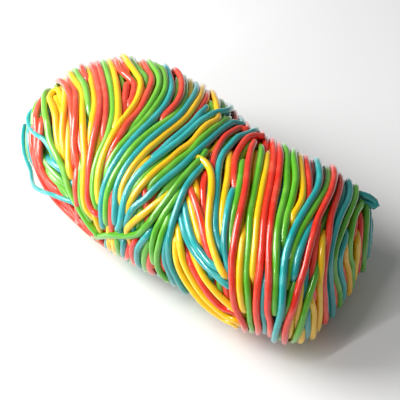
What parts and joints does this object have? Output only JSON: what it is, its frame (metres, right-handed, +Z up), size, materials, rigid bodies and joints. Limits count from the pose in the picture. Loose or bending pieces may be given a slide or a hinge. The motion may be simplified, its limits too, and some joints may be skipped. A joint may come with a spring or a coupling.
{
  "type": "bundle of licorice laces",
  "caption": "Loose bundle of long thin fruit licorice laces wound slantwise round a two-lobed form, with a waist, crossing strands and free ends.",
  "frame": {"origin": "on the surface that the bundle lies on, below the middle of its box", "axes": "+Z up; +X along the bundle, from the lobe with the gathered foot and the long free ends to the lobe with the small loop; +Y away from the side where the laces gather"},
  "size_m": [0.2068, 0.1014, 0.0677],
  "materials": {
    "lace_green": "glossy, lightly oiled",
    "lace_red": "glossy, lightly oiled",
    "lace_yellow": "glossy, lightly oiled",
    "lace_blue": "glossy, lightly oiled"
  },
  "bodies": {
    "root": {"lace_bundle": "lace_green"}
  },
  "joints": []
}
